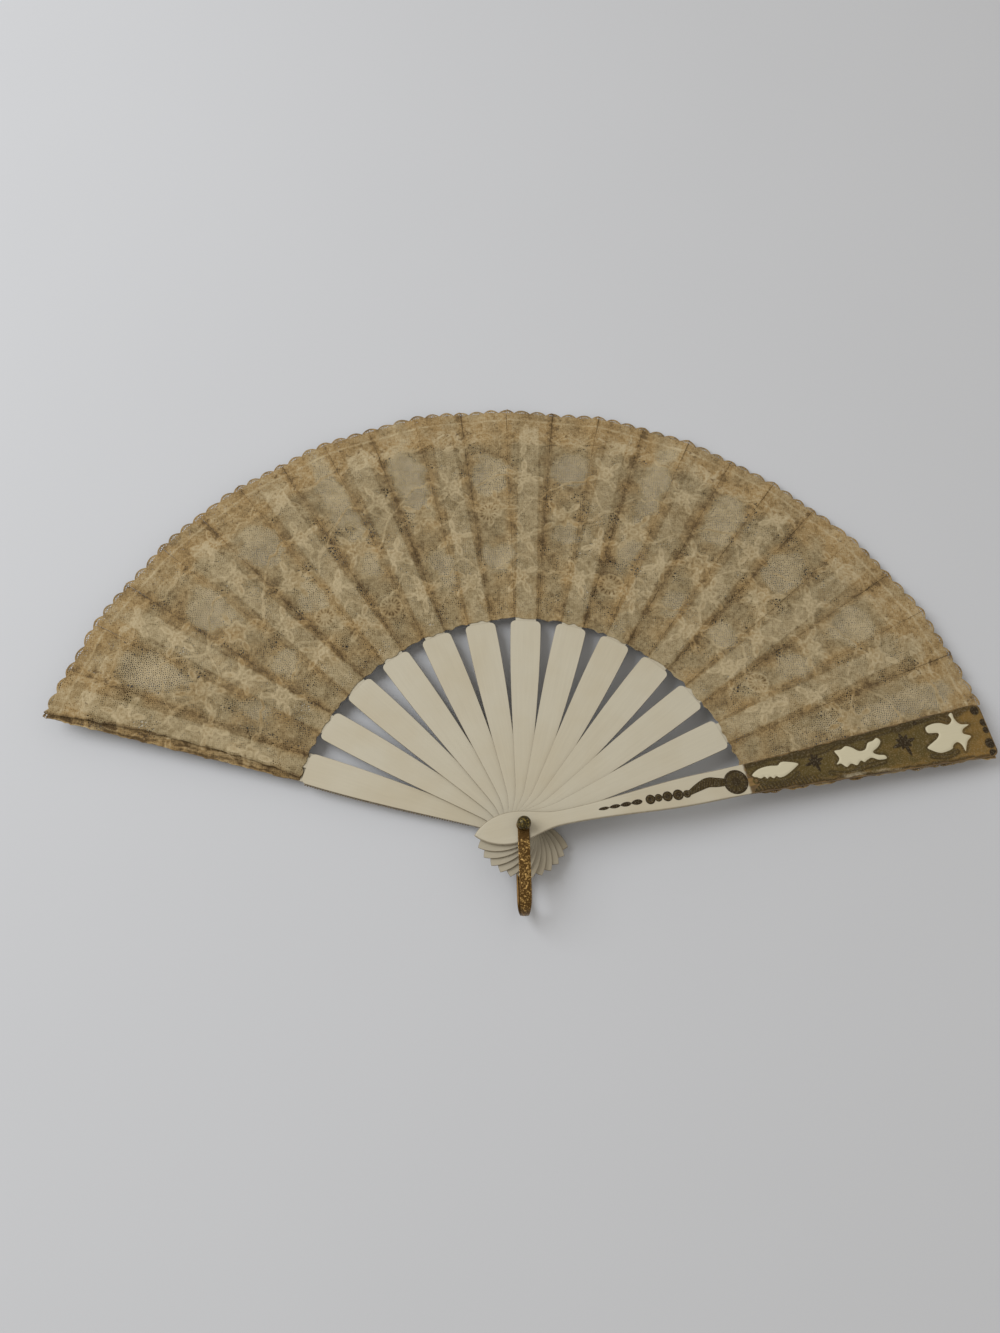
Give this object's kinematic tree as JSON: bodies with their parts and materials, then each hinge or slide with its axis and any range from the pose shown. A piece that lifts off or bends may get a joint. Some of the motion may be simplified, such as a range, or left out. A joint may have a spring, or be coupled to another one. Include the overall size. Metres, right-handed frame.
{
  "type": "folding lace fan",
  "caption": "Folding lace fan: pale sticks and two ornamented guards turn on a ball-headed rivet with a brass bail, and fold a pleated lace leaf.",
  "frame": {"origin": "the rivet's axis at the flat face of its tail, the lowest face of the part", "axes": "+Z along the rivet towards the front guard and the ball head, +Y along the middle of the open leaf, +X towards the front guard"},
  "size_m": [0.4457, 0.2658, 0.0263],
  "materials": {
    "ivory": "cream, satin, like bone or ivory-coloured celluloid, slightly yellowed",
    "lace": "tan machine lace on fine net with a darker ochre border",
    "gilt": "worn brown-gold foil and gold paint on the carved guards",
    "brass": "aged brass, chased on the bail and darkened in its recesses"
  },
  "bodies": {
    "rear_guard": {"rear_guard": "ivory", "rear_gilt_ground": "gilt", "leaf_rear_end": "lace", "rivet": "brass", "rivet_burr": "brass", "rivet_collar": "brass"},
    "stick_01": {"stick_01": "ivory", "leaf_rib_panel_01": "lace"},
    "free_panel_01": {"leaf_free_panel_01": "lace"},
    "stick_02": {"stick_02": "ivory", "leaf_rib_panel_02": "lace"},
    "free_panel_02": {"leaf_free_panel_02": "lace"},
    "stick_03": {"stick_03": "ivory", "leaf_rib_panel_03": "lace"},
    "free_panel_03": {"leaf_free_panel_03": "lace"},
    "stick_04": {"stick_04": "ivory", "leaf_rib_panel_04": "lace"},
    "free_panel_04": {"leaf_free_panel_04": "lace"},
    "stick_05": {"stick_05": "ivory", "leaf_rib_panel_05": "lace"},
    "free_panel_05": {"leaf_free_panel_05": "lace"},
    "stick_06": {"stick_06": "ivory", "leaf_rib_panel_06": "lace"},
    "free_panel_06": {"leaf_free_panel_06": "lace"},
    "stick_07": {"stick_07": "ivory", "leaf_rib_panel_07": "lace"},
    "free_panel_07": {"leaf_free_panel_07": "lace"},
    "stick_08": {"stick_08": "ivory", "leaf_rib_panel_08": "lace"},
    "free_panel_08": {"leaf_free_panel_08": "lace"},
    "stick_09": {"stick_09": "ivory", "leaf_rib_panel_09": "lace"},
    "free_panel_09": {"leaf_free_panel_09": "lace"},
    "stick_10": {"stick_10": "ivory", "leaf_rib_panel_10": "lace"},
    "free_panel_10": {"leaf_free_panel_10": "lace"},
    "stick_11": {"stick_11": "ivory", "leaf_rib_panel_11": "lace"},
    "free_panel_11": {"leaf_free_panel_11": "lace"},
    "stick_12": {"stick_12": "ivory", "leaf_rib_panel_12": "lace"},
    "free_panel_12": {"leaf_free_panel_12": "lace"},
    "front_guard": {"front_guard": "ivory", "leaf_front_end": "lace", "front_gilt_ground": "gilt", "front_scroll": "gilt", "front_medallion": "gilt", "front_star_1": "gilt", "front_star_2": "gilt"},
    "bail": {"bail": "brass"}
  },
  "joints": [
    {"name": "fan_fold", "type": "hinge", "parent": "rear_guard", "child": "front_guard", "pos_m": [0, 0, 0.0168], "axis": [0, 0, 1], "range_deg": [0, 150.93]},
    {"name": "stick_01_turn", "type": "hinge", "parent": "rear_guard", "child": "stick_01", "pos_m": [0, 0, 0.0042], "axis": [0, 0, 1], "range_deg": [-0.3, 0.05]},
    {"name": "stick_02_turn", "type": "hinge", "parent": "rear_guard", "child": "stick_02", "pos_m": [0, 0, 0.00525], "axis": [0, 0, 1], "range_deg": [-0.05, 12.32]},
    {"name": "stick_03_turn", "type": "hinge", "parent": "rear_guard", "child": "stick_03", "pos_m": [0, 0, 0.0063], "axis": [0, 0, 1], "range_deg": [-0.05, 24.85]},
    {"name": "stick_04_turn", "type": "hinge", "parent": "rear_guard", "child": "stick_04", "pos_m": [0, 0, 0.00735], "axis": [0, 0, 1], "range_deg": [-0.05, 37.38]},
    {"name": "stick_05_turn", "type": "hinge", "parent": "rear_guard", "child": "stick_05", "pos_m": [0, 0, 0.0084], "axis": [0, 0, 1], "range_deg": [-0.05, 49.9]},
    {"name": "stick_06_turn", "type": "hinge", "parent": "rear_guard", "child": "stick_06", "pos_m": [0, 0, 0.00945], "axis": [0, 0, 1], "range_deg": [-0.05, 62.42]},
    {"name": "stick_07_turn", "type": "hinge", "parent": "rear_guard", "child": "stick_07", "pos_m": [0, 0, 0.0105], "axis": [0, 0, 1], "range_deg": [-0.05, 74.95]},
    {"name": "stick_08_turn", "type": "hinge", "parent": "rear_guard", "child": "stick_08", "pos_m": [0, 0, 0.01155], "axis": [0, 0, 1], "range_deg": [-0.05, 87.47]},
    {"name": "stick_09_turn", "type": "hinge", "parent": "rear_guard", "child": "stick_09", "pos_m": [0, 0, 0.0126], "axis": [0, 0, 1], "range_deg": [-0.05, 100]},
    {"name": "stick_10_turn", "type": "hinge", "parent": "rear_guard", "child": "stick_10", "pos_m": [0, 0, 0.01365], "axis": [0, 0, 1], "range_deg": [-0.05, 112.53]},
    {"name": "stick_11_turn", "type": "hinge", "parent": "rear_guard", "child": "stick_11", "pos_m": [0, 0, 0.0147], "axis": [0, 0, 1], "range_deg": [-0.05, 125.05]},
    {"name": "stick_12_turn", "type": "hinge", "parent": "rear_guard", "child": "stick_12", "pos_m": [0, 0, 0.01575], "axis": [0, 0, 1], "range_deg": [-0.05, 137.57]},
    {"name": "free_panel_01_fold", "type": "hinge", "parent": "stick_01", "child": "free_panel_01", "pos_m": [0, 0, 0.0051], "axis": [-0.9512, 0.3087, -0.0024], "range_deg": [-175.05, 0.05], "deforming": ["leaf_free_panel_01"]},
    {"name": "free_panel_02_fold", "type": "hinge", "parent": "stick_02", "child": "free_panel_02", "pos_m": [0, 0, 0.00615], "axis": [-0.8616, 0.5076, -0.0024], "range_deg": [-175.05, 0.05], "deforming": ["leaf_free_panel_02"]},
    {"name": "free_panel_03_fold", "type": "hinge", "parent": "stick_03", "child": "free_panel_03", "pos_m": [0, 0, 0.0072], "axis": [-0.731, 0.6824, -0.0024], "range_deg": [-175.05, 0.05], "deforming": ["leaf_free_panel_03"]},
    {"name": "free_panel_04_fold", "type": "hinge", "parent": "stick_04", "child": "free_panel_04", "pos_m": [0, 0, 0.00825], "axis": [-0.5656, 0.8247, -0.0024], "range_deg": [-175.05, 0.05], "deforming": ["leaf_free_panel_04"]},
    {"name": "free_panel_05_fold", "type": "hinge", "parent": "stick_05", "child": "free_panel_05", "pos_m": [0, 0, 0.0093], "axis": [-0.3733, 0.9277, -0.0024], "range_deg": [-175.05, 0.05], "deforming": ["leaf_free_panel_05"]},
    {"name": "free_panel_06_fold", "type": "hinge", "parent": "stick_06", "child": "free_panel_06", "pos_m": [0, 0, 0.01035], "axis": [-0.1632, 0.9866, -0.0024], "range_deg": [-175.05, 0.05], "deforming": ["leaf_free_panel_06"]},
    {"name": "free_panel_07_fold", "type": "hinge", "parent": "stick_07", "child": "free_panel_07", "pos_m": [0, 0, 0.0114], "axis": [0.0546, 0.9985, -0.0024], "range_deg": [-175.05, 0.05], "deforming": ["leaf_free_panel_07"]},
    {"name": "free_panel_08_fold", "type": "hinge", "parent": "stick_08", "child": "free_panel_08", "pos_m": [0, 0, 0.01245], "axis": [0.2699, 0.9629, -0.0024], "range_deg": [-175.05, 0.05], "deforming": ["leaf_free_panel_08"]},
    {"name": "free_panel_09_fold", "type": "hinge", "parent": "stick_09", "child": "free_panel_09", "pos_m": [0, 0, 0.0135], "axis": [0.4723, 0.8815, -0.0024], "range_deg": [-175.05, 0.05], "deforming": ["leaf_free_panel_09"]},
    {"name": "free_panel_10_fold", "type": "hinge", "parent": "stick_10", "child": "free_panel_10", "pos_m": [0, 0, 0.01455], "axis": [0.6522, 0.7581, -0.0024], "range_deg": [-175.05, 0.05], "deforming": ["leaf_free_panel_10"]},
    {"name": "free_panel_11_fold", "type": "hinge", "parent": "stick_11", "child": "free_panel_11", "pos_m": [0, 0, 0.0156], "axis": [0.8011, 0.5986, -0.0024], "range_deg": [-175.05, 0.05], "deforming": ["leaf_free_panel_11"]},
    {"name": "free_panel_12_fold", "type": "hinge", "parent": "stick_12", "child": "free_panel_12", "pos_m": [0, 0, 0.01665], "axis": [0.9118, 0.4106, -0.0024], "range_deg": [-175.05, 0.05], "deforming": ["leaf_free_panel_12"]},
    {"name": "bail_swing", "type": "hinge", "parent": "rear_guard", "child": "bail", "pos_m": [0, 0, 0.01], "axis": [0, 0, 1], "range_deg": [-80, 80]}
  ],
  "couplings": [
    {"joint": "stick_01_turn", "follows": "fan_fold", "ratio": -0.001656},
    {"joint": "stick_02_turn", "follows": "fan_fold", "ratio": 0.081332},
    {"joint": "stick_03_turn", "follows": "fan_fold", "ratio": 0.16432},
    {"joint": "stick_04_turn", "follows": "fan_fold", "ratio": 0.24731},
    {"joint": "stick_05_turn", "follows": "fan_fold", "ratio": 0.3303},
    {"joint": "stick_06_turn", "follows": "fan_fold", "ratio": 0.41329},
    {"joint": "stick_07_turn", "follows": "fan_fold", "ratio": 0.49627},
    {"joint": "stick_08_turn", "follows": "fan_fold", "ratio": 0.57926},
    {"joint": "stick_09_turn", "follows": "fan_fold", "ratio": 0.66225},
    {"joint": "stick_10_turn", "follows": "fan_fold", "ratio": 0.74524},
    {"joint": "stick_11_turn", "follows": "fan_fold", "ratio": 0.82823},
    {"joint": "stick_12_turn", "follows": "fan_fold", "ratio": 0.91121},
    {"joint": "free_panel_01_fold", "follows": "fan_fold", "ratio": -1.1595},
    {"joint": "free_panel_02_fold", "follows": "fan_fold", "ratio": -1.1595},
    {"joint": "free_panel_03_fold", "follows": "fan_fold", "ratio": -1.1595},
    {"joint": "free_panel_04_fold", "follows": "fan_fold", "ratio": -1.1595},
    {"joint": "free_panel_05_fold", "follows": "fan_fold", "ratio": -1.1595},
    {"joint": "free_panel_06_fold", "follows": "fan_fold", "ratio": -1.1595},
    {"joint": "free_panel_07_fold", "follows": "fan_fold", "ratio": -1.1595},
    {"joint": "free_panel_08_fold", "follows": "fan_fold", "ratio": -1.1595},
    {"joint": "free_panel_09_fold", "follows": "fan_fold", "ratio": -1.1595},
    {"joint": "free_panel_10_fold", "follows": "fan_fold", "ratio": -1.1595},
    {"joint": "free_panel_11_fold", "follows": "fan_fold", "ratio": -1.1595},
    {"joint": "free_panel_12_fold", "follows": "fan_fold", "ratio": -1.1595}
  ]
}
